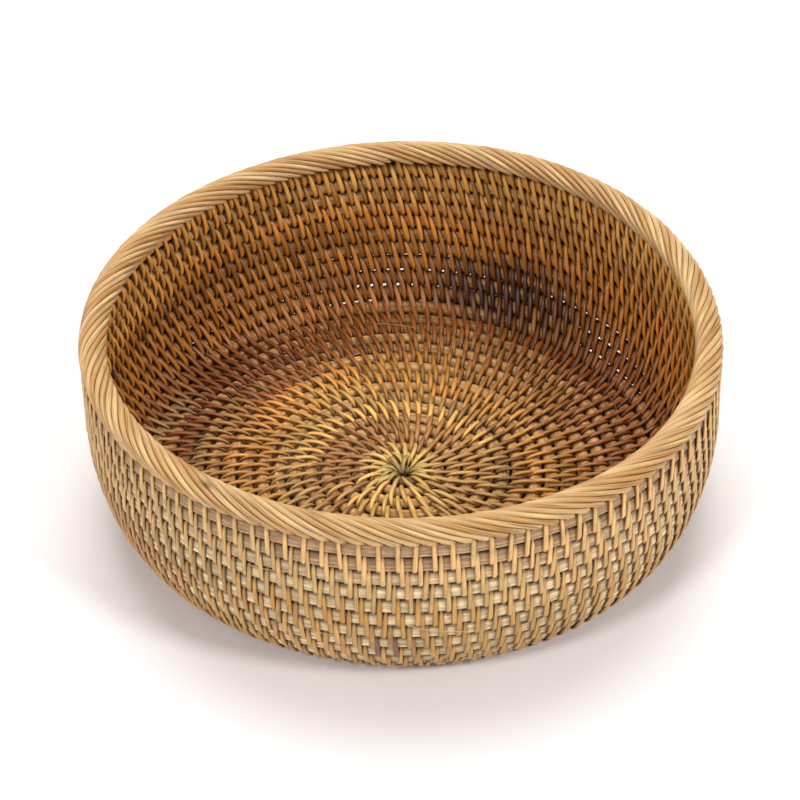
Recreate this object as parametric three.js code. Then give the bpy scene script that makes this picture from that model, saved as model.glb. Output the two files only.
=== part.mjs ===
// Coiled cane basket: a round, deep bowl with a flat base, a nearly upright wall and a thick wrapped rim.
//
// One long bundle of cane is coiled round and round. It starts at a knot in the middle of the base, runs
// outwards as a flat spiral, turns up through the corner and climbs as the wall. The bundle is made of
// lengths a little longer than one turn, spliced end to end, so the splices wander round the basket. The
// last length is feathered out to nothing, which leaves a level edge. A separate bundle lies on that edge as
// the rim's core, and flat strips of split cane are wound round the core side by side, each one slanting
// along the rim.
//
// Units are millimetres. +Z is up, and the origin is on the floor under the middle of the base.

import * as THREE from 'three';

// Overall size
const OUTER_DIAMETER = 300;
const HEIGHT = 98;

// Coil: the bundle with its binding. Angles are in radians, counter-clockwise from +X seen from above.
const COIL_PITCH = 7.95;
const COIL_THICKNESS = 7.6;
const COIL_GAP = 0.3;
const COIL_FLAT = 5;
const COIL_START_ANGLE = -0.66;

// Shape of the coil's centre line, seen in section
const FLAT_RADIUS = 120;
const CORNER_RUN = 25.5;
const CORNER_RISE = 53;

// Rim
const RIM_WIDTH = 13;
const RIM_DEPTH = 10.4;
const STRIP_THICKNESS = 0.8;
const STRIP_CLEARANCE = 0.5;
const STRIP_COUNT = 8;
const STRIP_WRAPS = 15;
const STRIP_SIDE_GAP = 1;
const STRIP_END_TRIM = 0.0006;
const RIM_JOIN_ANGLE = Math.PI / 2;

// How finely curves are divided
const TURN_STEPS = 32;
const LENGTH_STEPS = 34;
const COARSE_LENGTHS = 4;
const FEATHER_SHORT_STEPS = 6;
const KNOT_SIDES = 16;
const RIM_SIDES = 6;
const RIM_STEPS = 72;

// Derived sizes
const COIL_HALF = COIL_THICKNESS / 2;
const RIM_RADIUS = OUTER_DIAMETER / 2 - RIM_WIDTH / 2;
const RIM_CENTRE_HEIGHT = HEIGHT - RIM_DEPTH / 2;
const CORNER_STATIONS = 400;
const BASE_LENGTHS = Math.floor(((FLAT_RADIUS / COIL_PITCH - 1) * TURN_STEPS) / LENGTH_STEPS);
const KNOT_RADIUS = COIL_PITCH / 2 - COIL_GAP;
const FULL_TURN = 2 * Math.PI;

// Colours of the cane
const CANE_BASE = new THREE.Color(0xb08a4c);
const CANE_WALL = new THREE.Color(0xc9ab7c);
const CANE_RIM = new THREE.Color(0xd9b070);
const CANE_KNOT = new THREE.Color(0xb59a55);

// Arc length of the corner's quarter ellipse, tabulated so that a distance along the section gives a point.
const cornerLengths = [0];
for (let i = 1; i <= CORNER_STATIONS; i += 1) {
  const t = ((i - 0.5) / CORNER_STATIONS) * (Math.PI / 2);
  const step = Math.PI / 2 / CORNER_STATIONS;
  const speed = Math.hypot(CORNER_RUN * Math.cos(t), CORNER_RISE * Math.sin(t));
  cornerLengths.push(cornerLengths[i - 1] + speed * step);
}
const CORNER_LENGTH = cornerLengths[CORNER_STATIONS];

function cornerParameter(distance) {
  let i = 1;
  while (i < CORNER_STATIONS && cornerLengths[i] < distance) {
    i += 1;
  }
  const part = (distance - cornerLengths[i - 1]) / (cornerLengths[i] - cornerLengths[i - 1]);
  return ((i - 1 + part) / CORNER_STATIONS) * (Math.PI / 2);
}

// Point of the section's centre line at a distance from the middle of the base. outR and outZ are the
// direction square to the wall, pointing out of the basket.
function sectionAt(distance) {
  if (distance <= FLAT_RADIUS) {
    return { r: distance, z: COIL_HALF, outR: 0, outZ: -1 };
  }
  if (distance >= FLAT_RADIUS + CORNER_LENGTH) {
    const above = distance - FLAT_RADIUS - CORNER_LENGTH;
    return { r: FLAT_RADIUS + CORNER_RUN, z: COIL_HALF + CORNER_RISE + above, outR: 1, outZ: 0 };
  }
  const t = cornerParameter(distance - FLAT_RADIUS);
  const alongR = CORNER_RUN * Math.cos(t);
  const alongZ = CORNER_RISE * Math.sin(t);
  const length = Math.hypot(alongR, alongZ);
  return {
    r: FLAT_RADIUS + CORNER_RUN * Math.sin(t),
    z: COIL_HALF + CORNER_RISE * (1 - Math.cos(t)),
    outR: alongZ / length,
    outZ: -alongR / length,
  };
}

function polar(angle, r, z) {
  return new THREE.Vector3(r * Math.cos(angle), r * Math.sin(angle), z);
}

// A path with its own section directions: at(t) gives the centre point, and the two vectors that the drawn
// section's x and y are laid along. Their lengths scale the section.
class GuidedPath extends THREE.Curve {
  constructor(at) {
    super();
    this.at = at;
  }

  getPoint(t) {
    return this.at(t).centre;
  }

  getSpacedPoints(divisions) {
    return this.getPoints(divisions);
  }

  computeFrenetFrames(divisions) {
    const frames = { tangents: [], normals: [], binormals: [] };
    for (let i = 0; i <= divisions; i += 1) {
      const station = this.at(i / divisions);
      frames.normals.push(station.x);
      frames.binormals.push(station.y);
      frames.tangents.push(new THREE.Vector3().crossVectors(station.x, station.y).normalize());
    }
    return frames;
  }
}

function sweep(section, at, steps) {
  const settings = { steps, bevelEnabled: false, extrudePath: new GuidedPath(at) };
  return new THREE.ExtrudeGeometry(section, settings);
}

function polygon(points) {
  return new THREE.Shape(points.map(([x, y]) => new THREE.Vector2(x, y)));
}

function cane(name, geometry, colour, roughness) {
  const material = new THREE.MeshStandardMaterial({ color: colour, roughness, metalness: 0 });
  const mesh = new THREE.Mesh(geometry, material);
  mesh.name = name;
  return mesh;
}

function numbered(stem, number) {
  return `${stem}_${String(number).padStart(2, '0')}`;
}

// Section of one coil: six-sided, flat inside and outside, with a ridge towards each neighbouring coil.
// x runs out of the basket, and y back along the section towards the knot.
const coilHalfPitch = (COIL_PITCH - COIL_GAP) / 2;
const coilSection = polygon([
  [-COIL_HALF, -COIL_FLAT / 2],
  [0, -coilHalfPitch],
  [COIL_HALF, -COIL_FLAT / 2],
  [COIL_HALF, COIL_FLAT / 2],
  [0, coilHalfPitch],
  [-COIL_HALF, COIL_FLAT / 2],
]);

// Station of a coil at a distance along the section. wide and deep scale its section.
function coilStation(angle, distance, wide = 1, deep = 1) {
  const { r, z, outR, outZ } = sectionAt(distance);
  return {
    centre: polar(angle, r, z),
    x: polar(angle, outR * wide, outZ * wide),
    y: polar(angle, outZ * deep, -outR * deep),
  };
}

// The spiral is counted in steps from the knot, with TURN_STEPS to a turn. It starts one pitch out.
function distanceAtStep(step) {
  return (1 + step / TURN_STEPS) * COIL_PITCH;
}

function angleAtStep(step) {
  return COIL_START_ANGLE + (step / TURN_STEPS) * FULL_TURN;
}

// One length of the bundle. Its far end stops just short of the next length.
function coilLength(firstStep, divisions) {
  const trim = COIL_GAP / (FULL_TURN * sectionAt(distanceAtStep(firstStep + LENGTH_STEPS / 2)).r);
  const at = (t) => {
    const step = firstStep + t * (1 - trim) * LENGTH_STEPS;
    return coilStation(angleAtStep(step), distanceAtStep(step));
  };
  return sweep(coilSection, at, divisions);
}

const basket = new THREE.Group();

// Knot at the start of the spiral
const knotGeometry = new THREE.CylinderGeometry(KNOT_RADIUS, KNOT_RADIUS, COIL_THICKNESS, KNOT_SIDES);
const knot = cane('base_start_knot', knotGeometry, CANE_KNOT, 0.75);
knot.rotation.x = Math.PI / 2;
knot.position.z = COIL_HALF;
basket.add(knot);

// Flat spiral of the base
const baseCoils = new THREE.Group();
for (let number = 1; number <= BASE_LENGTHS; number += 1) {
  const divisions = number <= COARSE_LENGTHS ? LENGTH_STEPS / 2 : LENGTH_STEPS;
  const geometry = coilLength((number - 1) * LENGTH_STEPS, divisions);
  baseCoils.add(cane(numbered('base_coil', number), geometry, CANE_BASE, 0.7));
}
basket.add(baseCoils);

// Corner and wall: as many whole lengths as fit under the rim
const rimUnderside = RIM_CENTRE_HEIGHT - RIM_DEPTH / 2 - COIL_GAP;
const topDistance = FLAT_RADIUS + CORNER_LENGTH + rimUnderside - coilHalfPitch - COIL_HALF - CORNER_RISE;
const topStep = (topDistance / COIL_PITCH - 1) * TURN_STEPS;
const allLengths = Math.floor(topStep / LENGTH_STEPS);
const wallCoils = new THREE.Group();
for (let number = BASE_LENGTHS + 1; number <= allLengths; number += 1) {
  const name = numbered('wall_coil', number - BASE_LENGTHS);
  wallCoils.add(cane(name, coilLength((number - 1) * LENGTH_STEPS, LENGTH_STEPS), CANE_WALL, 0.65));
}

// Feathered end of the bundle. It goes on at full size while there is room under the rim, then fills the
// wedge that is left between the turn below and the rim.
const featherStart = allLengths * LENGTH_STEPS;
const featherSteps = Math.round(topStep + TURN_STEPS - FEATHER_SHORT_STEPS - featherStart);
const featherGeometry = sweep(
  coilSection,
  (t) => {
    const step = featherStart + t * featherSteps;
    const floor = sectionAt(distanceAtStep(step - TURN_STEPS)).z + coilHalfPitch + COIL_GAP;
    const half = Math.min((rimUnderside - floor) / 2, coilHalfPitch);
    const deep = half / coilHalfPitch;
    const station = coilStation(angleAtStep(step), distanceAtStep(step), 0.4 + 0.6 * deep, deep);
    station.centre.z = floor + half;
    return station;
  },
  featherSteps,
);
wallCoils.add(cane('wall_coil_feathered_end', featherGeometry, CANE_WALL, 0.65));
basket.add(wallCoils);

// Core of the rim: a closed ring with an oval section, drawn with RIM_SIDES sides. It has a corner at its
// widest point and a flat on top, so the corners stand further up than the oval does.
const cornerStretch = 1 / Math.sin(Math.PI / 3);
const stripStack = STRIP_THICKNESS + STRIP_CLEARANCE;
const coreHalfWidth = RIM_WIDTH / 2 - stripStack;
const coreHalfDepth = (RIM_DEPTH / 2 - stripStack) * cornerStretch;
const rimCoreGeometry = new THREE.TorusGeometry(RIM_RADIUS, coreHalfWidth, RIM_SIDES, RIM_STEPS);
const rimCore = cane('rim_core', rimCoreGeometry, CANE_WALL, 0.7);
rimCore.scale.z = coreHalfDepth / coreHalfWidth;
rimCore.position.z = RIM_CENTRE_HEIGHT;
basket.add(rimCore);

// Strips wound round the rim's core. Each one goes once round the basket while it wraps the core many times,
// over the top from the inside to the outside, and ends where it began. Seen along the rim, the strips lie
// side by side. The drawn section's x is the strip's thickness, from its inner face, and y is its width.
const stripPitch = (FULL_TURN * RIM_RADIUS) / (STRIP_COUNT * STRIP_WRAPS);
const stripHalfWidth = (stripPitch - STRIP_SIDE_GAP) / 2;
const stripSection = polygon([
  [0, -stripHalfWidth],
  [STRIP_THICKNESS, -stripHalfWidth],
  [STRIP_THICKNESS, stripHalfWidth],
  [0, stripHalfWidth],
]);
const innerHalfWidth = RIM_WIDTH / 2 - STRIP_THICKNESS;
const innerHalfDepth = RIM_DEPTH / 2 - STRIP_THICKNESS;

function rimStrip(index) {
  const wrapSteps = STRIP_WRAPS * RIM_SIDES;
  const at = (t) => {
    const wrap = -t * STRIP_WRAPS * FULL_TURN;
    const along = RIM_JOIN_ANGLE + t * FULL_TURN + (index * stripPitch) / RIM_RADIUS;
    const across = Math.cos(wrap);
    const up = Math.sin(wrap) * cornerStretch;
    const r = RIM_RADIUS + innerHalfWidth * across;
    return {
      centre: polar(along, r, RIM_CENTRE_HEIGHT + innerHalfDepth * up),
      x: polar(along, across, up),
      y: polar(along + Math.PI / 2, -r / RIM_RADIUS, 0),
    };
  };
  return sweep(stripSection, (t) => at(t * (1 - STRIP_END_TRIM)), wrapSteps);
}

const rimStrips = new THREE.Group();
for (let index = 0; index < STRIP_COUNT; index += 1) {
  rimStrips.add(cane(numbered('rim_strip', index + 1), rimStrip(index), CANE_RIM, 0.5));
}
basket.add(rimStrips);

export default basket;
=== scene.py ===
"""Looks of the coiled cane basket: fibrous coil, stitched binding strips, wrapped rim and loose fibres.

Lengths are millimetres, except those of the floor, the lights and the camera, which are metres. Angles are
radians, except where a comment says degrees, and go counter-clockwise from +X seen from above. A place on
the basket is given as an angle, a distance along the section from the middle of the base, and a depth square
to the wall, positive on the outside.
"""

import bpy
import numpy as np
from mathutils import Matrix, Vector


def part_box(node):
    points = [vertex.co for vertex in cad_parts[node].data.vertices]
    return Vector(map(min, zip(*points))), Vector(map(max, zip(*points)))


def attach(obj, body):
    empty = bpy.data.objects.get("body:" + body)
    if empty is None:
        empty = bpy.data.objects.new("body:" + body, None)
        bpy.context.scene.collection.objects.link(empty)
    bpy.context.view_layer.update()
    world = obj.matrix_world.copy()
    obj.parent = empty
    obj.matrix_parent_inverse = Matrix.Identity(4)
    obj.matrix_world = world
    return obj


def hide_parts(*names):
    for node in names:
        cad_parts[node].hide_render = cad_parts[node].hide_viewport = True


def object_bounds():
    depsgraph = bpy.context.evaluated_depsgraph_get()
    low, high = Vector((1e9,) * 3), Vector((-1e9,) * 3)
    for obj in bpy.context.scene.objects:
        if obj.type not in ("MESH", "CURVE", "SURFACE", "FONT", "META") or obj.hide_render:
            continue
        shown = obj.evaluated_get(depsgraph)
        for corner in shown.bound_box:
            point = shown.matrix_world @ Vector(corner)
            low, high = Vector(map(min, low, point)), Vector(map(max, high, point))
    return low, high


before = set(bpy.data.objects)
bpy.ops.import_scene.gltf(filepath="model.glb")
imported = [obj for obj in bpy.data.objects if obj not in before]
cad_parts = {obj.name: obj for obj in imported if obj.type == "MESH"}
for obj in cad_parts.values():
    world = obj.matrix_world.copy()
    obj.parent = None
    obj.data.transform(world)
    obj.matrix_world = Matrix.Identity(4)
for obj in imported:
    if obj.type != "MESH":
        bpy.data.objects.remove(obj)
cad_low, cad_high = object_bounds()
rng = np.random.default_rng(20)
scene = bpy.context.scene

# ---------------------------------------------------------------- sizes
MM = 0.001
TURN = 2 * np.pi
OUTER_RADIUS = (cad_high.x - cad_low.x) / 2 / MM
HEIGHT = (cad_high.z - cad_low.z) / MM
COIL_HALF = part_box("base_start_knot")[1].z / MM / 2

COIL_PITCH = 7.95
COIL_START = -0.66
LENGTH_TURNS = 34 / 32
BASE_LENGTHS = 13
WALL_LENGTHS = 10
FLAT_RADIUS = 120.0
WALL_INSET = 4.5
CORNER_RUN = OUTER_RADIUS - WALL_INSET - FLAT_RADIUS
CORNER_RISE = 53.0

RIM_WIDTH = 13.0
RIM_DEPTH = 10.4
RIM_RADIUS = OUTER_RADIUS - RIM_WIDTH / 2
RIM_HEIGHT = HEIGHT - RIM_DEPTH / 2
RIM_STRIPS = 8
RIM_WRAPS = 15
RIM_JOIN = np.pi / 2
RIM_CLEARANCE = 0.3

STRIP_WIDTH = 2.25
STRIP_THICKNESS = 1.0
CORE_HALF_WIDTH = 3.65


# ---------------------------------------------------------------- shape of the section
corner_turn = np.linspace(0, np.pi / 2, 2001)
corner_speed = np.hypot(CORNER_RUN * np.cos(corner_turn), CORNER_RISE * np.sin(corner_turn))
corner_lengths = np.concatenate(
    [[0], np.cumsum((corner_speed[1:] + corner_speed[:-1]) / 2 * np.diff(corner_turn))]
)
CORNER_LENGTH = corner_lengths[-1]
RIM_DISTANCE = FLAT_RADIUS + CORNER_LENGTH + HEIGHT - RIM_DEPTH - RIM_CLEARANCE - COIL_HALF - CORNER_RISE


def section(distance):
    """Radius, height and uphill direction (dr, dz) of the wall's middle surface."""
    t = np.interp(distance - FLAT_RADIUS, corner_lengths, corner_turn)
    above = np.maximum(distance - FLAT_RADIUS - CORNER_LENGTH, 0)
    r = np.minimum(distance, FLAT_RADIUS) + CORNER_RUN * np.sin(t)
    z = COIL_HALF + CORNER_RISE * (1 - np.cos(t)) + above
    dr, dz = CORNER_RUN * np.cos(t), CORNER_RISE * np.sin(t)
    size = np.hypot(dr, dz)
    return r, z, dr / size, dz / size


def waves(count, angular, along, seed):
    """A smooth random function of angle and distance, about 1 high, whole round the basket."""
    r = np.random.default_rng(seed)
    turns = r.integers(1, angular + 1, count) * r.choice([-1, 1], count)
    steps = r.normal(0, 1 / along, count)
    phases = r.uniform(0, TURN, count)

    def value(angle, distance):
        total = 0
        for n, k, p in zip(turns, steps, phases, strict=True):
            total = total + np.sin(n * angle + k * distance + p)
        return total / np.sqrt(count / 2)

    return value


row_wave = waves(count=9, angular=7, along=30, seed=3)
wall_wave = waves(count=7, angular=4, along=50, seed=5)
ROW_UNEVENNESS = 0.2
WALL_UNEVENNESS = 0.25
# The unevenness grows over this distance from the middle of the base, and dies away over this one at the rim.
FREE_FROM_MIDDLE = 60
FREE_FROM_RIM = 40
# Share of the outward depth kept on the base, so that it stands on the floor, and gained up the wall
BASE_DEPTH = 0.84
WALL_DEPTH_GAIN = 0.16


def place(angle, distance, depth):
    """Points of the basket, in millimetres, with the unevenness of handwork."""
    free = np.clip(distance / FREE_FROM_MIDDLE, 0, 1)
    free = free * np.clip((RIM_DISTANCE + 8 - distance) / FREE_FROM_RIM, 0, 1)
    distance = distance + ROW_UNEVENNESS * free * row_wave(angle, distance)
    r, z, dr, dz = section(distance)
    depth = depth + WALL_UNEVENNESS * dz * free * wall_wave(angle, distance)
    depth = np.where(depth > 0, depth * (BASE_DEPTH + WALL_DEPTH_GAIN * dz), depth)
    r = r + depth * dz
    z = z - depth * dr
    return np.stack([r * np.cos(angle), r * np.sin(angle), z], -1)


def directions(angle, distance):
    """Unit vectors uphill and outwards."""
    _, _, dr, dz = section(distance)
    c, s = np.cos(angle), np.sin(angle)
    up = np.stack([dr * c, dr * s, dz], -1)
    out = np.stack([dz * c, dz * s, -dr], -1)
    return up, out


# ---------------------------------------------------------------- meshes
def unit(v):
    return v / np.maximum(np.linalg.norm(v, axis=-1, keepdims=True), 1e-9)


def strip_faces(rings, sides, closed):
    """Quads joining each ring of points to the next one, for a tube or an open sheet."""
    around = sides if closed else sides - 1
    i = np.arange(rings - 1)[:, None] * sides
    j = np.arange(around)[None, :]
    k = (j + 1) % sides
    return np.stack([i + j, i + k, i + sides + k, i + sides + j], -1).reshape(-1, 4)


# The basket stands a little askew: its base is off the middle of its rim. It is not quite round either, by
# (degrees, width in degrees, how far out at the rim).
BASE_OFFSET = np.array([1.0, -2.0])
OUT_OF_ROUND = [(58, 28, 2.2), (128, 28, -2.2), (5, 24, -1.5), (166, 24, -1.5), (-45, 28, 1.4)]


def settled(points):
    """Points of the true basket moved to where they are on this uneven one."""
    points = points.copy()
    share = points[:, 2] / HEIGHT
    radius = np.hypot(points[:, 0], points[:, 1])
    angle = np.degrees(np.arctan2(points[:, 1], points[:, 0]))
    grow = 0
    for middle, width, amount in OUT_OF_ROUND:
        grow = grow + amount * np.exp(-((((angle - middle + 180) % 360 - 180) / width) ** 2))
    grow = grow * share * np.clip(radius / OUTER_RADIUS, 0, 1)
    points[:, :2] *= (1 + grow / np.maximum(radius, 1))[:, None]
    points[:, :2] += (1 - share)[:, None] * BASE_OFFSET
    return points


def linear(code):
    """A colour written as hex, as linear light."""
    c = np.array([int(code[i : i + 2], 16) for i in (0, 2, 4)]) / 255
    return np.where(c <= 0.04045, c / 12.92, ((c + 0.055) / 1.055) ** 2.4)


def make_piece(name, points, faces, material, nodes, tint, strand):
    """A mesh of quads with a colour and a fibre coordinate at each point, standing for CAD nodes."""
    mesh = bpy.data.meshes.new(name)
    points = settled(points)
    mesh.vertices.add(len(points))
    mesh.vertices.foreach_set("co", (points * MM).astype(np.float32).ravel())
    mesh.loops.add(faces.size)
    mesh.loops.foreach_set("vertex_index", faces.astype(np.int32).ravel())
    mesh.polygons.add(len(faces))
    mesh.polygons.foreach_set("loop_start", np.arange(0, faces.size, 4, dtype=np.int32))
    mesh.polygons.foreach_set("use_smooth", np.ones(len(faces), bool))
    mesh.update(calc_edges=True)
    colour = mesh.attributes.new("tint", "FLOAT_COLOR", "POINT")
    colour.data.foreach_set("color", np.c_[tint, np.ones(len(tint))].astype(np.float32).ravel())
    fibre = mesh.attributes.new("strand", "FLOAT_VECTOR", "POINT")
    fibre.data.foreach_set("vector", strand.astype(np.float32).ravel())
    mesh.materials.append(material)
    piece = bpy.data.objects.new(name, mesh)
    scene.collection.objects.link(piece)
    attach(piece, "root")
    if nodes:
        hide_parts(*nodes)


def node_name(number):
    """CAD node of a coil length, counted from the middle of the base."""
    if number < BASE_LENGTHS:
        return f"base_coil_{number + 1:02d}"
    if number < BASE_LENGTHS + WALL_LENGTHS:
        return f"wall_coil_{number - BASE_LENGTHS + 1:02d}"
    return "wall_coil_feathered_end"


# ---------------------------------------------------------------- materials
class Nodes:
    """Short names for building a material's nodes."""

    def __init__(self, name):
        self.material = bpy.data.materials.new(name)
        self.material.use_nodes = True
        self.tree = self.material.node_tree
        self.shader = self.tree.nodes["Principled BSDF"]

    def add(self, kind, **values):
        node = self.tree.nodes.new(kind)
        for key, value in values.items():
            setattr(node, key, value)
        return node

    def link(self, out, into):
        self.tree.links.new(out, into)

    def attribute(self, name):
        return self.add("ShaderNodeAttribute", attribute_name=name)

    def stretched(self, vector, scale):
        node = self.add("ShaderNodeMapping")
        node.inputs["Scale"].default_value = scale
        self.link(vector, node.inputs["Vector"])
        return node.outputs["Vector"]

    def noise(self, vector, detail, rough=0.55):
        node = self.add("ShaderNodeTexNoise")
        node.inputs["Scale"].default_value = 1.0
        node.inputs["Detail"].default_value = detail
        node.inputs["Roughness"].default_value = rough
        self.link(vector, node.inputs["Vector"])
        return node.outputs["Fac"]

    def ramp(self, value, stops):
        node = self.add("ShaderNodeValToRGB")
        elements = node.color_ramp.elements
        while len(elements) < len(stops):
            elements.new(0.5)
        for element, (at, grey) in zip(elements, stops, strict=True):
            element.position = at
            element.color = (grey, grey, grey, 1)
        self.link(value, node.inputs["Fac"])
        return node.outputs["Color"]

    def product(self, a, b):
        node = self.add("ShaderNodeMix", data_type="RGBA", blend_type="MULTIPLY")
        node.inputs["Factor"].default_value = 1.0
        first_colour, second_colour, result = node.inputs[6], node.inputs[7], node.outputs[2]
        self.link(a, first_colour)
        self.link(b, second_colour)
        return result

    def scaled(self, value, low, high):
        node = self.add("ShaderNodeMapRange")
        node.inputs["To Min"].default_value = low
        node.inputs["To Max"].default_value = high
        self.link(value, node.inputs["Value"])
        return node.outputs["Result"]

    def bump(self, height, distance):
        node = self.add("ShaderNodeBump")
        node.inputs["Strength"].default_value = 1.0
        node.inputs["Distance"].default_value = distance * MM
        self.link(height, node.inputs["Height"])
        self.link(node.outputs["Normal"], self.shader.inputs["Normal"])


def cane_material(name, streak, blotch, roughness, groove, gloss):
    """Split cane: fibres that run along the strip, blotches, uneven shine and fine grooves."""
    n = Nodes(name)
    tint = n.attribute("tint").outputs["Color"]
    strand = n.attribute("strand").outputs["Vector"]
    fine = n.noise(n.stretched(strand, (0.05, 3.2, 1.0)), 4.0, 0.6)
    patch = n.noise(n.stretched(strand, (0.11, 0.35, 1.0)), 2.0)
    lines = n.ramp(fine, [(0.3, 1 - streak), (0.5, 1.0), (0.72, 1 + streak * 0.6)])
    spots = n.ramp(patch, [(0.3, 1 - blotch), (0.55, 1.0), (0.75, 1 + blotch * 0.5)])
    colour = n.product(n.product(tint, lines), spots)
    n.link(colour, n.shader.inputs["Base Color"])
    n.link(n.scaled(fine, *roughness), n.shader.inputs["Roughness"])
    n.shader.inputs["Specular IOR Level"].default_value = gloss
    n.bump(fine, groove)
    return n.material


binding_cane = cane_material(
    "binding_cane", streak=0.34, blotch=0.26, roughness=(0.28, 0.56), groove=0.12, gloss=0.55
)
coil_cane = cane_material(
    "coil_cane", streak=0.42, blotch=0.30, roughness=(0.6, 0.9), groove=0.22, gloss=0.3
)
rim_cane = cane_material(
    "rim_cane", streak=0.26, blotch=0.20, roughness=(0.42, 0.66), groove=0.14, gloss=0.45
)

# ---------------------------------------------------------------- coil
# Outline of the coil's section, as (uphill, outwards). The outer face leans like a clapboard: its lower edge
# stands proud of the row below.
CORE_OUTLINE = np.array(
    [
        (3.60, 0.4),
        (3.45, 1.3),
        (3.0, 1.95),
        (2.2, 2.3),
        (1.5, 2.5),
        (0.8, 2.62),
        (0.1, 2.74),
        (-0.6, 2.84),
        (-1.3, 2.93),
        (-2.0, 3.02),
        (-2.7, 3.08),
        (-3.3, 3.02),
        (-3.72, 2.6),
        (-3.70, 1.7),
        (-3.55, 0.6),
        (-3.55, -0.5),
        (-3.25, -1.3),
        (-2.4, -2.05),
        (-1.4, -2.6),
        (-0.3, -2.8),
        (0.8, -2.76),
        (1.8, -2.45),
        (2.75, -1.9),
        (3.4, -1.1),
    ]
)
FIBRE_DEPTH = 0.16
FIBRE_RUN = 26.0
CORE_STEP = 2.3
CORE_LEAST_RINGS = 24
# The fibres' bumps vary over this length of the coil, and run level past it.
FIBRE_REACH = 16000
# How thin the coil is by distance. It is thinner low on the wall, where light shows between the rows.
THINNED = ([130, 136, 150, 154], [1.0, 0.935, 0.935, 1.0])
END_SIZE = 0.1

# The coil's colours outside and inside. The inside ones are the same cane painted darker and warmer, as
# painted shade and warm bounce light inside the bowl.
CORE_OUT = linear("ead0a4")
CORE_OUT_TOP = linear("be9c76")
CORE_IN_SHADED = linear("ba8650")
CORE_IN_PALE_SHADED = linear("d8b076")
# Painted shade, for the crevices between the rows and the strips' turned-in ends.
CREVICE_SHADE = linear("3a200c")

# The coil's upper edge goes this far past the rim's lower edge, and the coil runs on for a part of a turn,
# pinched thinner and thinner between the rim and the row below.
END_UNDER_RIM = 1.5
FEATHERED_TURNS = 0.8
total_turns = (RIM_DISTANCE - CORE_HALF_WIDTH + END_UNDER_RIM) / COIL_PITCH - 1 + FEATHERED_TURNS


def coil_distance(turns):
    return (1 + turns) * COIL_PITCH


def core_room(turns):
    """Middle and half width of the coil along the section, pinched under the rim at its end."""
    middle = coil_distance(turns)
    half = np.interp(middle, *THINNED) * CORE_HALF_WIDTH
    below = middle - COIL_PITCH / 2
    room = (RIM_DISTANCE + 3.0 - below) / 2
    tight = room < COIL_PITCH / 2
    middle = np.where(tight, below + room, middle)
    half = np.where(tight, np.maximum(room - 0.4, 0.4), half)
    return middle, half


def core_mesh(first, last):
    """Points, faces, colours and fibre coordinates of one length of the coil."""
    radius = section(coil_distance(np.array((first + last) / 2)))[0]
    rings = max(CORE_LEAST_RINGS, int((last - first) * TURN * radius / CORE_STEP))
    turns = np.linspace(first, last, rings - 2)
    turns = np.concatenate([turns[:1], turns, turns[-1:]])
    angle = COIL_START + turns * TURN
    middle, half = core_room(turns)
    length = np.pi * COIL_PITCH * turns * (turns + 2)
    sides = len(CORE_OUTLINE)
    marks = np.arange(0, FIBRE_REACH / FIBRE_RUN)
    fibres = np.random.default_rng(8)
    bumps = np.stack(
        [np.interp(length / FIBRE_RUN, marks, fibres.normal(0, 1, len(marks))) for _ in range(sides)], 1
    )
    size = (half / CORE_HALF_WIDTH)[:, None]
    up = CORE_OUTLINE[:, 0] * size
    out = CORE_OUTLINE[:, 1] * (0.5 + 0.5 * size)
    away = np.sign(out) * FIBRE_DEPTH * bumps * (np.abs(CORE_OUTLINE[:, 1]) > 2.2)
    ends = np.ones(rings)
    ends[0] = ends[-1] = END_SIZE
    points = place(
        np.broadcast_to(angle[:, None], up.shape),
        middle[:, None] + up * ends[:, None],
        (out + away) * ends[:, None],
    )
    outside = np.clip(CORE_OUTLINE[:, 1] / 2.0, 0, 1)
    # Painted shade: darker towards the crevices at the coil's edges, and over the upper part of its outer
    # face, in the shade of the row above.
    edge = np.clip((np.abs(CORE_OUTLINE[:, 0]) - 2.6) / 0.8, 0, 1)
    edge = np.where(CORE_OUTLINE[:, 1] > 0, np.clip((CORE_OUTLINE[:, 0] - 0.8) / 2.4, edge, 1), edge)
    edge = np.where(CORE_OUTLINE[:, 0] < 0, edge * 0.5, edge)
    high = np.clip((middle - 192) / 14, 0, 1)[:, None, None]
    out_colour = CORE_OUT * (1 - high) + CORE_OUT_TOP * high
    pale = 0.8 * np.exp(-(((middle - 198) / 14) ** 2))[:, None, None]
    flat = np.clip((125 - middle) / 15, 0, 1)[:, None, None] * 0.3
    in_colour = CORE_IN_SHADED * (1 - pale - flat) + CORE_IN_PALE_SHADED * (pale + flat)
    tint = in_colour * (1 - outside[:, None]) + out_colour * outside[:, None]
    tint = tint * (1 - edge[:, None]) + CREVICE_SHADE * edge[:, None]
    shade = 1 + 0.2 * bumps[..., None]
    tint = (np.broadcast_to(tint, (rings, sides, 3)) * np.clip(shade, 0.6, 1.4)).reshape(-1, 3)
    strand = np.stack(
        [
            np.broadcast_to(length[:, None], up.shape),
            np.broadcast_to(np.arange(sides) * 0.9, up.shape),
            np.broadcast_to(np.array(first), up.shape),
        ],
        -1,
    )
    return points.reshape(-1, 3), strip_faces(rings, sides, True)[:, ::-1], tint, strand.reshape(-1, 3)


# ---------------------------------------------------------------- stitches
ROW_SHIFT = 0.29
WALL_COUNT = 120
COUNT_PER_TURN = 6.8
FIRST_COUNT = 12
EVENING_PASSES = 40


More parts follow.
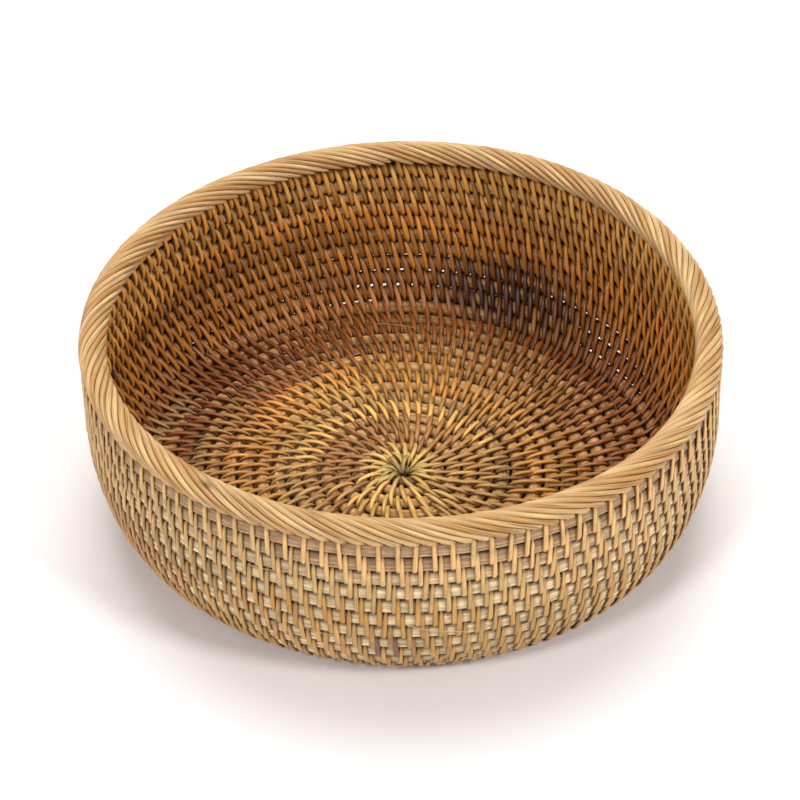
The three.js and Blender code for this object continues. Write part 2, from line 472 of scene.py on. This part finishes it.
def stitch_turns(end):
    """Where the stitches stand along the spiral, in turns. Each turn follows the one below it, shifted a
    little, and takes in more stitches as it grows."""
    row = (np.arange(FIRST_COUNT) + 0.5) / FIRST_COUNT
    rows = [row]
    while rows[-1][-1] < end:
        parents = rows[-1]
        count = round(min(WALL_COUNT, FIRST_COUNT + COUNT_PER_TURN * len(rows)))
        gap = 1 / (count + ROW_SHIFT)
        children = list(parents + 1 - ROW_SHIFT * gap)
        extra = count - len(parents)
        ends = np.append(children, children[0] + 1 - ROW_SHIFT * gap)
        spread = (np.arange(extra) + rng.uniform(0.15, 0.85, extra)) / max(extra, 1)
        spots = (spread * len(parents)).astype(int)
        children = np.sort(np.concatenate([children, (ends[spots] + ends[spots + 1]) / 2]))
        line = np.concatenate([parents[-3:], children, children[:3] + 1 - ROW_SHIFT * gap])
        for _ in range(EVENING_PASSES):
            line[3:-3] += 0.5 * ((line[2:-4] + line[4:-2]) / 2 - line[3:-3])
            line[-3:] = line[3:6] + 1 - ROW_SHIFT * gap
        rows.append(line[3:-3].copy())
    turns = np.concatenate(rows)
    return turns[turns < end]


# The loop that a stitch makes round its own coil and the one below: (share of the half length uphill,
# outwards, share of the stitch gap moved along, share of the strip's width). It goes down the outside,
# through below, up the inside and over the top to the next stitch.
LOOP = np.array(
    [
        (0.985, 1.10, 0.00, 0.62),
        (0.93, 2.25, 0.00, 0.72),
        (0.83, 2.82, 0.00, 0.84),
        (0.66, 3.08, 0.00, 0.94),
        (0.36, 3.22, 0.00, 1.00),
        (0.05, 3.28, 0.00, 1.02),
        (-0.26, 3.36, 0.00, 1.06),
        (-0.56, 3.42, 0.00, 1.10),
        (-0.78, 3.30, 0.00, 1.12),
        (-0.92, 2.80, 0.00, 1.02),
        (-0.985, 2.00, 0.00, 0.90),
        (-1.00, 0.30, 0.00, 0.80),
        (-0.985, -0.90, 0.00, 0.82),
        (-0.93, -1.60, 0.00, 0.92),
        (-0.83, -2.35, 0.01, 1.04),
        (-0.68, -2.98, 0.03, 1.14),
        (-0.48, -3.42, 0.07, 1.22),
        (-0.24, -3.68, 0.12, 1.26),
        (0.00, -3.74, 0.18, 1.28),
        (0.24, -3.62, 0.24, 1.26),
        (0.48, -3.34, 0.31, 1.20),
        (0.68, -2.90, 0.38, 1.12),
        (0.83, -2.25, 0.45, 1.00),
        (0.93, -1.50, 0.53, 0.86),
        (0.985, -0.50, 0.68, 0.74),
        (1.00, 0.30, 0.88, 0.66),
    ]
)
STRIP_OUTLINE = np.array(
    [(-0.5, 0.1), (-0.46, 0.6), (-0.27, 0.92), (0.0, 1.0), (0.27, 0.92), (0.46, 0.6), (0.5, 0.1)]
)
# Painted shade on the strip's rounded edges, a little more on one side: the colour that multiplies them, and
# how much of it each outline point gets
STRIP_EDGE_SHADE = np.array([0.5, 0.32, 0.18])
EDGE_SHADE = np.array([0.85, 0.5, 0.04, 0.0, 0.06, 0.6, 0.95])[:, None]
# Painted shade where the strip turns in at the top and the bottom of its loop: from which share of the half
# length, over how much of it, and how dark
DARK_FROM, DARK_OVER, DARK_AMOUNT = 0.78, 0.2, 0.7
# How unevenly the strips are laid: two shares of the stitch gap, a share of the depth, a share of the width,
# and millimetres along the section
ALONG_SCATTER = 0.035
LEAN_SCATTER = 0.035
DEPTH_SCATTER = 0.02
WIDTH_SCATTER = 0.07
DISTANCE_SCATTER = 0.12
# The strips' width on the inside, by distance
INSIDE_WIDTH = ([90, 140, 190], [0.82, 0.9, 0.84])


def pick(stops, value):
    """Colour from a list of (value, colour) stops."""
    at = np.array([s[0] for s in stops])
    colours = np.array([linear(s[1]) for s in stops])
    return np.stack([np.interp(value, at, colours[:, i]) for i in range(3)], -1)


# Colours of the strips on the inside and on the outside, by distance from the middle of the base. The inside
# ones hold the cane's bands of colour, and also painted shade and warm bounce light inside the bowl: they are
# darker and warmer than the outside ones, and lighter on the upper rows as painted light.
INSIDE_BANDS_AND_SHADE = [
    (0, "be9d4f"),
    (24, "c8a65d"),
    (29, "956531"),
    (38, "8f602d"),
    (42, "c8a55c"),
    (49, "bd9246"),
    (53, "8f5826"),
    (62, "9c682d"),
    (68, "bd8836"),
    (84, "b27c2e"),
    (92, "915322"),
    (118, "8a4e1f"),
    (130, "9c6024"),
    (150, "ac6e28"),
    (180, "c3873a"),
    (192, "dfa754"),
    (215, "e1a955"),
]
OUTSIDE_BANDS = [
    (0, "c9a060"),
    (110, "b8884c"),
    (140, "bf924c"),
    (150, "c89c54"),
    (170, "cfa35e"),
    (190, "d8b06e"),
    (215, "dcb676"),
]
# Runs of other cane, and stains: (degrees, degrees, distance, distance, on the outside, colour, strength)
ACCENTS = [
    (-120, -74, 172, 189, True, "c08c2c", 0.85),
    (-98, -86, 155, 166, True, "5c3a40", 0.75),
    (-60, -30, 158, 175, True, "c4943c", 0.5),
    (-160, -125, 150, 176, True, "b87a44", 0.5),
    (46, 84, 124, 172, False, "3c1e08", 0.85),
    (20, 50, 120, 140, False, "6a3a18", 0.45),
    (158, 192, 122, 148, False, "5c3214", 0.45),
    (-130, -80, 85, 112, False, "7a4420", 0.35),
    (135, 245, 90, 108, False, "be9444", 0.8),
    (145, 225, 118, 134, False, "d0aa68", 0.75),
    (100, 140, 60, 80, False, "d0a850", 0.5),
    (-60, 30, 92, 112, False, "b67e38", 0.6),
    (20, 100, 100, 116, False, "b88440", 0.6),
    (160, 200, 107, 117, False, "583014", 0.6),
]


def stitch_colours(turns, distance):
    """Inside and outside colours of each stitch. One length of cane makes a run of stitches alike."""
    count = len(turns)
    run_of = np.zeros(count, int)
    at = run = 0
    while at < count:
        length = rng.integers(14, 40)
        run_of[at : at + length] = run
        at += length
        run += 1
    shift = rng.normal(0, 8, run)[run_of]
    bright = rng.normal(0, 0.17, run)[run_of] + rng.normal(0, 0.08, count)
    warm = np.abs(rng.normal(0, 0.55, run))[run_of] + rng.normal(0, 0.2, count)
    inside = pick(INSIDE_BANDS_AND_SHADE, distance + shift)
    outside = pick(OUTSIDE_BANDS, distance + shift)
    tilt = np.stack([1 + 0.05 * warm, 1 - 0.03 * warm, 1 - 0.16 * warm], -1)
    inside = inside * tilt * (1 + 1.2 * bright[:, None]) * 1.15
    outside = outside * tilt**0.4 * (1 + 0.6 * bright[:, None])
    angle = COIL_START + turns * TURN
    for start, end, low, high, is_outside, code, strength in ACCENTS:
        half = np.radians(end - start) / 2
        away = np.abs((angle - np.radians(start) - half + np.pi) % TURN - np.pi) / half
        beside = np.abs(distance - (low + high) / 2) / ((high - low) / 2)
        within = np.maximum(away, beside) < 1
        share = np.clip(1.6 * (1 - away**2) * (1 - beside**2), 0, 1) * within * strength
        share = (share * np.clip(1 + rng.normal(0, 0.35, count), 0, 1))[:, None]
        colours = outside if is_outside else inside
        colours[:] = colours * (1 - share) + linear(code) * share
    return np.clip(inside, 0.01, 1), np.clip(outside, 0.01, 1)


stitch_at = stitch_turns(total_turns)
stitch_gap = np.diff(stitch_at, append=stitch_at[-1] + stitch_at[-1] - stitch_at[-2])
stitch_distance = coil_distance(stitch_at)
stitch_inside, stitch_outside = stitch_colours(stitch_at, stitch_distance)
count = len(stitch_at)
steps = len(LOOP)

top = np.minimum(stitch_distance + COIL_PITCH / 2, RIM_DISTANCE + 3.5)
bottom = np.maximum(stitch_distance - 1.5 * COIL_PITCH, 1.3)
first_row = stitch_at < 1.0
bottom = np.where(first_row, rng.uniform(2.4, 6.0, count), bottom)
mid, half = (top + bottom) / 2, (top - bottom) / 2


def each(scale):
    return rng.normal(0, scale, count)[:, None]


loop_up, loop_out, loop_along, loop_wide = LOOP.T
lean = (each(LEAN_SCATTER) + np.where(first_row, rng.normal(0, 0.3, count), 0)[:, None]) * loop_up
path_turns = stitch_at[:, None] + stitch_gap[:, None] * (loop_along + each(ALONG_SCATTER) + lean)
path_angle = COIL_START + path_turns * TURN
path_distance = mid[:, None] + half[:, None] * loop_up + each(DISTANCE_SCATTER)
path_depth = loop_out * (1 + each(DEPTH_SCATTER))
path_width = STRIP_WIDTH * loop_wide * (1 + each(WIDTH_SCATTER))
path_width = path_width * np.clip(path_distance / 9, 0.45, 1)
path_width = path_width * np.where(loop_out < 0, np.interp(path_distance, *INSIDE_WIDTH), 1)

path = place(path_angle, path_distance, path_depth).reshape(-1, 3)
up, out = directions(path_angle, path_distance)
next_up, next_out = np.roll(loop_up, -1), np.roll(loop_out, -1)
last_up, last_out = np.roll(loop_up, 1), np.roll(loop_out, 1)
step_up = (next_up - last_up) * half[:, None]
step_out = np.broadcast_to(next_out - last_out, step_up.shape)
normal = (step_out[..., None] * up - step_up[..., None] * out).reshape(-1, 3)
tangent = unit(np.gradient(path, axis=0))
normal = unit(normal - (normal * tangent).sum(-1, keepdims=True) * tangent)
side = np.cross(tangent, normal)
width = path_width.reshape(-1, 1, 1)
binding = (
    path[:, None]
    + side[:, None] * STRIP_OUTLINE[:, 0, None] * width
    + normal[:, None] * STRIP_OUTLINE[:, 1, None] * STRIP_THICKNESS
)
# Where the strip faces in, it takes the inside colours with their painted shade.
facing = np.clip(loop_out / 2.5, -1, 1) / 2 + 0.5
binding_tint = (
    stitch_inside[:, None] * (1 - facing[:, None]) + stitch_outside[:, None] * facing[:, None]
)
painted_end_shade = np.clip((np.abs(loop_up) - DARK_FROM) / DARK_OVER, 0, 1)[:, None] * DARK_AMOUNT
binding_tint = (binding_tint * (1 - painted_end_shade) + CREVICE_SHADE * painted_end_shade).reshape(-1, 1, 3)
binding_tint = binding_tint * (1 - EDGE_SHADE) + binding_tint * STRIP_EDGE_SHADE * EDGE_SHADE
binding_tint = np.broadcast_to(binding_tint, binding.shape)
along = np.concatenate([[0], np.cumsum(np.linalg.norm(np.diff(path, axis=0), axis=1))])
binding_strand = np.stack(
    np.broadcast_arrays(along[:, None], STRIP_OUTLINE[:, 0] * STRIP_WIDTH, np.zeros((1, 1))), -1
)


def add_binding(number, first, last):
    chosen = np.flatnonzero((stitch_at >= first) & (stitch_at < last))
    a, b = chosen[0] * steps, min((chosen[-1] + 1) * steps + 1, len(path))
    faces = strip_faces(b - a, len(STRIP_OUTLINE), True)
    name = node_name(number).replace("coil", "binding")
    make_piece(
        name,
        binding[a:b].reshape(-1, 3),
        faces,
        binding_cane,
        [node_name(number)],
        binding_tint[a:b].reshape(-1, 3),
        binding_strand[a:b].reshape(-1, 3),
    )


for number in range(BASE_LENGTHS + WALL_LENGTHS + 1):
    first = number * LENGTH_TURNS
    last = first + LENGTH_TURNS if number < BASE_LENGTHS + WALL_LENGTHS else total_turns
    points, faces, tint, strand = core_mesh(first, last)
    name = node_name(number) + "_core"
    make_piece(name, points, faces, coil_cane, [node_name(number)], tint, strand)
    add_binding(number, first, last)

# Start of the coil, wound into the middle of the base
KNOT_START = -0.93
KNOT_SHADE = 0.4
knot_points, knot_faces, knot_tint, knot_strand = core_mesh(KNOT_START, 0.0)
make_piece(
    "start_knot",
    knot_points,
    knot_faces,
    coil_cane,
    ["base_start_knot"],
    knot_tint * KNOT_SHADE,
    knot_strand,
)

# Strips drawn through the middle of the base to start the coil: (from x, y, to x, y, height over the coil)
START_STRIPS = [
    (-0.9, -1.2, -7.0, 11.5, 1.9),
    (-0.6, -1.4, 4.6, 12.5, 1.6),
    (-13.5, -1.0, -1.6, 0.6, 1.2),
    (2.4, -0.6, 13.0, -3.4, 1.3),
    (-2.2, -1.6, -8.6, -9.6, 1.4),
    (-4.8, 0.4, -11.4, -6.4, 0.9),
]
START_RINGS = 16
START_COLOUR = linear("d8ba6c")
start_points, start_tint, start_strand = [], [], []
for x0, y0, x1, y1, lift in START_STRIPS:
    t = np.linspace(0, 1, START_RINGS)
    span = np.hypot(x1 - x0, y1 - y0)
    sideways = np.array([-(y1 - y0), x1 - x0, 0]) / span
    height = 2 * COIL_HALF - 3.2 + (3.4 + lift) * np.sin(np.pi * (0.08 + 0.88 * t)) ** 0.8
    bend = 0.06 * span * np.sin(np.pi * t)
    line = np.stack([x0 + (x1 - x0) * t, y0 + (y1 - y0) * t, height], -1) + bend[:, None] * sideways
    wide = STRIP_WIDTH * (0.75 + 0.35 * t)[:, None, None]
    over = unit(np.cross(unit(np.gradient(line, axis=0)), sideways)) * -1
    ring = (
        line[:, None]
        + STRIP_OUTLINE[:, 0, None] * wide * sideways
        + over[:, None] * STRIP_OUTLINE[:, 1, None] * STRIP_THICKNESS
    )
    start_points.append(ring.reshape(-1, 3))
    shade = np.clip(np.sin(np.pi * t) * 2.2, 0.35, 1)[:, None, None] * (1 - 0.4 * EDGE_SHADE)
    start_tint.append((START_COLOUR * shade).reshape(-1, 3))
    start_strand.append(
        np.stack(
            np.broadcast_arrays((t * span)[:, None], STRIP_OUTLINE[:, 0] * STRIP_WIDTH, np.array(lift)), -1
        ).reshape(-1, 3)
    )
start_faces = strip_faces(START_RINGS, len(STRIP_OUTLINE), True)
start_size = START_RINGS * len(STRIP_OUTLINE)
make_piece(
    "start_knot_binding",
    np.concatenate(start_points),
    np.concatenate([start_faces + i * start_size for i in range(len(START_STRIPS))]),
    binding_cane,
    [],
    np.concatenate(start_tint),
    np.concatenate(start_strand),
)

# ---------------------------------------------------------------- rim
RIM_RINGS = 48
RIM_LIGHT = linear("e2c088")
RIM_DARK = linear("bd8a4c")
# Colour of the grooves and strip edges, and of the painted shadow where the strips dive in.
RIM_GROOVE_AND_SHADOW = linear("4e280e")
# The hoop's colour is darkened as painted shade, for where it shows in the notches under the strips.
RIM_HOOP_SHADE = linear("6e4a28")
RIM_BLEMISH = np.radians(-125)

# The hoop is smaller than the rim by the first all round, and the strips' surface is set in by the second.
HOOP_COVER = 1.6
STRIP_SINK = 0.7
core_rings, core_sides = 360, 20
ring_angle = np.linspace(0, TURN, core_rings + 1)[:, None]
round_angle = np.arange(core_sides) / core_sides * TURN
ridge = 1 + 0.02 * np.cos(round_angle * 10)
core_r = RIM_RADIUS + (RIM_WIDTH / 2 - HOOP_COVER) * ridge * np.cos(round_angle)
core_z = RIM_HEIGHT + (RIM_DEPTH / 2 - HOOP_COVER) * ridge * np.sin(round_angle)
points = np.stack(
    np.broadcast_arrays(core_r * np.cos(ring_angle), core_r * np.sin(ring_angle), core_z), -1
).reshape(-1, 3)
make_piece(
    "rim_core_bundle",
    points,
    strip_faces(core_rings + 1, core_sides, True),
    coil_cane,
    ["rim_core"],
    np.tile(RIM_HOOP_SHADE, (len(points), 1)),
    np.stack(
        np.broadcast_arrays(ring_angle * RIM_RADIUS, round_angle * 5, np.zeros((1, 1))), -1
    ).reshape(-1, 3),
)

RIM_PITCH = TURN * RIM_RADIUS / (RIM_STRIPS * RIM_WRAPS)
RIM_LEAD = RIM_PITCH * RIM_STRIPS
across = np.linspace(-0.5, 0.5, 21)


def rounded(value, power):
    return np.sign(value) * np.abs(value) ** power


def smooth(value):
    value = np.clip(value, 0, 1)
    return value * value * (3 - 2 * value)


def rim_section(wrap, proud):
    """Across and up from the rim's centre: oval above, squarer below, where it sits down over the wall."""
    c, s = np.cos(wrap), np.sin(wrap)
    square = np.where(s < 0, 0.62, 0.95)
    a = RIM_WIDTH / 2 - STRIP_SINK + proud
    b = RIM_DEPTH / 2 - STRIP_SINK + proud
    return a * rounded(c, square), b * rounded(s, np.where(s < 0, 0.85, 0.95))


def uneven(r, t, number, low, high):
    """A value that wanders between low and high along a strip, set at a number of even steps."""
    return np.interp(t[:, 0] * number, np.arange(number + 1), r.uniform(low, high, number + 1))[:, None]


def rim_strip(index):
    r = np.random.default_rng(100 + index)
    rings = RIM_WRAPS * RIM_RINGS
    t = np.linspace(0, 1, rings + 1)[:, None]
    part = (t * RIM_WRAPS) % 1.0
    part[-1] = 1.0
    whole = np.round(t * RIM_WRAPS - part)
    # One wrap goes from the underside up the inside and over to the outside. It slants along the rim until
    # it is down on the outside, and then tucks under.
    turned = part * 360
    wrap = np.radians(-90 - turned)
    moved = np.interp(turned, [0, 55, 285, 360], [0, 0.03, 0.92, 1.0])
    v = across[None, :] + uneven(r, t, 50, -0.05, 0.05)
    angle = RIM_JOIN + ((whole + moved) * RIM_LEAD + (index + v * 1.02) * RIM_PITCH) / RIM_RADIUS
    low = -np.sin(wrap)
    tooth = np.interp(v, [-0.5, 0.28, 0.5], [0.28, 0.94, 0.36])
    if index == 0:
        tooth = tooth - np.exp(-((t * RIM_WRAPS / 0.2) ** 2))
    dive = smooth((low - tooth) / 0.1)
    crown = 1.35 * (1 - (2 * np.abs(v)) ** 2.2) - 0.6 + 0.25 * v
    groove = 0
    for spot in r.uniform(-0.3, 0.3, 2):
        near = (v - spot - uneven(r, t, 60, -0.1, 0.1)) / 0.028
        groove = groove + uneven(r, t, 70, -0.8, 1.2) * np.exp(-(near**2))
    groove = np.clip(groove, 0, 1)
    proud = crown - 0.4 * groove - 3.4 * dive + uneven(r, t, 45, -0.15, 0.15)
    x, z = rim_section(wrap, proud)
    rr = RIM_RADIUS + x
    points = np.stack([rr * np.cos(angle), rr * np.sin(angle), RIM_HEIGHT + z], -1)
    tone = uneven(r, t, 45, 0, 1)[..., None]
    edge = np.clip((np.abs(v) - 0.4) / 0.1, 0, 1)[..., None] * 0.9
    tint = RIM_LIGHT * (1 - tone) + RIM_DARK * tone
    # Dark grooves and strip edges, and painted shadow where the strip dives in under the rim's lower edge.
    dark = np.clip(groove[..., None] + edge + dive[..., None], 0, 1)
    tint = tint * (1 - dark) + RIM_GROOVE_AND_SHADOW * dark
    beside = ((angle - RIM_BLEMISH + np.pi) % TURN - np.pi) * RIM_RADIUS / 3.5
    blemish = np.exp(-(beside**2) - ((np.degrees(wrap) + 270 + 15) / 14) ** 2)[..., None]
    tint = tint * (1 - 0.7 * blemish)
    strand = np.stack(
        np.broadcast_arrays(t * RIM_WRAPS * 58.0, v * 3.2, np.full((1, 1), index * 7.0)), -1
    )
    make_piece(
        f"rim_strip_{index + 1:02d}_cane",
        points.reshape(-1, 3),
        strip_faces(rings + 1, len(across), False),
        rim_cane,
        [f"rim_strip_{index + 1:02d}"],
        tint.reshape(-1, 3),
        strand.reshape(-1, 3),
    )


for index in range(RIM_STRIPS):
    rim_strip(index)

# ---------------------------------------------------------------- loose fibres
FIBRE_COUNT = 150
FIBRE_POINTS = 8
FIBRE_SIDES = 4
FIBRE_SIZE = FIBRE_POINTS * FIBRE_SIDES
INWARD_SHARE = 0.45
# Fibres on the inside are the same cane painted darker and warmer, as painted shade in the bowl.
INWARD_SHADED_COLOUR = linear("c99a58")
OUTWARD_COLOUR = linear("e2c890")

fibre_rng = np.random.default_rng(31)
fibre_points, fibre_faces, fibre_tint, fibre_strand = [], [], [], []
for index in range(FIBRE_COUNT):
    root = fibre_rng.integers(60, count)
    inward = fibre_rng.random() < INWARD_SHARE
    t = np.linspace(0, 1, FIBRE_POINTS)
    long = fibre_rng.uniform(3, 13)
    swing = fibre_rng.normal(0, 1)
    distance = stitch_distance[root] + fibre_rng.uniform(-5, 3) + t * long * fibre_rng.uniform(-0.9, 0.5)
    distance = np.minimum(distance, RIM_DISTANCE - 2)
    lift = 3.3 + 1.0 * np.sin(t * 2.6) * fibre_rng.uniform(0.3, 1.5) + 0.5 * t
    lift = np.minimum(lift, 5.2) if inward else np.minimum(lift, 4.6)
    angle = COIL_START + stitch_at[root] * TURN
    around = angle + (swing * t + 0.5 * swing * t**2) * long / np.maximum(distance, 20)
    line = place(around, distance, -lift if inward else lift)
    thick = fibre_rng.uniform(0.14, 0.3) * (1 - 0.6 * t)[:, None, None]
    turn = np.arange(FIBRE_SIDES) / FIBRE_SIDES * TURN
    along_line = unit(np.gradient(line, axis=0))
    one = unit(np.cross(along_line, [0.3, 0.2, 1.0]))
    two = np.cross(along_line, one)
    ring = np.cos(turn)[:, None] * one[:, None] + np.sin(turn)[:, None] * two[:, None]
    fibre_faces.append(strip_faces(FIBRE_POINTS, FIBRE_SIDES, True) + len(fibre_points) * FIBRE_SIZE)
    fibre_points.append((line[:, None] + ring * thick).reshape(-1, 3))
    fibre_tint.append(np.tile(INWARD_SHADED_COLOUR if inward else OUTWARD_COLOUR, (FIBRE_SIZE, 1)))
    fibre_strand.append(np.c_[np.repeat(t * long, FIBRE_SIDES), np.zeros((FIBRE_SIZE, 2))])
make_piece(
    "loose_fibres",
    np.concatenate(fibre_points),
    np.concatenate(fibre_faces),
    binding_cane,
    [],
    np.concatenate(fibre_tint),
    np.concatenate(fibre_strand),
)

# ---------------------------------------------------------------- floor, light, camera
# The floor is where the lowest binding strips under the base touch it, a little below the CAD's zero.
FLOOR_HEIGHT = -0.0003
FLOOR_SIZE = 12.0
FLOOR_COLOUR = (0.94, 0.915, 0.92)
ROOM_COLOUR = (1, 0.975, 0.995)
ROOM_STRENGTH = 0.32
LIGHT_DISTANCE = 2
CAMERA_PLACE = (0.0, -1.0110, 0.8673)
CAMERA_TARGET = (0, 0, 0.05)


def stage_plane(name, size, z):
    mesh = bpy.data.meshes.new(name)
    s = size / 2
    mesh.from_pydata([(-s, -s, z), (s, -s, z), (s, s, z), (-s, s, z)], [], [(0, 1, 2, 3)])
    floor = bpy.data.objects.new(name, mesh)
    scene.collection.objects.link(floor)
    n = Nodes(name)
    n.shader.inputs["Base Color"].default_value = (*FLOOR_COLOUR, 1)
    n.shader.inputs["Roughness"].default_value = 0.7
    n.shader.inputs["Specular IOR Level"].default_value = 0.2
    mesh.materials.append(n.material)


stage_plane("floor", FLOOR_SIZE, FLOOR_HEIGHT)


def sun(name, azimuth, elevation, strength, angle, colour):
    """A soft distant light, its angles in degrees. Azimuth 0 is the front, counter-clockwise from above."""
    data = bpy.data.lights.new(name, "SUN")
    data.energy = strength
    data.angle = np.radians(angle)
    data.color = colour
    a, e = np.radians(azimuth - 90), np.radians(elevation)
    towards = Vector((np.cos(a) * np.cos(e), np.sin(a) * np.cos(e), np.sin(e)))
    light = bpy.data.objects.new(name, data)
    light.location = towards * LIGHT_DISTANCE
    light.rotation_euler = (-towards).to_track_quat("-Z", "Y").to_euler()
    scene.collection.objects.link(light)


COOL, WARM = (1.0, 0.985, 0.99), (1.0, 0.985, 0.96)
sun("top", azimuth=186, elevation=66, strength=2.1, angle=40, colour=WARM)
sun("front_left", azimuth=-40, elevation=42, strength=1.1, angle=13, colour=COOL)
sun("front_right", azimuth=60, elevation=38, strength=1.4, angle=14, colour=COOL)

world = bpy.data.worlds.new("studio")
world.use_nodes = True
world.node_tree.nodes["Background"].inputs["Color"].default_value = (*ROOM_COLOUR, 1)
world.node_tree.nodes["Background"].inputs["Strength"].default_value = ROOM_STRENGTH
scene.world = world
scene.view_settings.view_transform = "Standard"

camera_data = bpy.data.cameras.new("camera")
camera_data.sensor_width = 36
camera_data.lens = 123.4
camera_data.shift_x = -0.00125
camera_data.shift_y = -0.0028
camera = bpy.data.objects.new("camera", camera_data)
camera.location = CAMERA_PLACE
camera.rotation_euler = (Vector(CAMERA_TARGET) - camera.location).to_track_quat("-Z", "Y").to_euler()
scene.collection.objects.link(camera)
scene.camera = camera
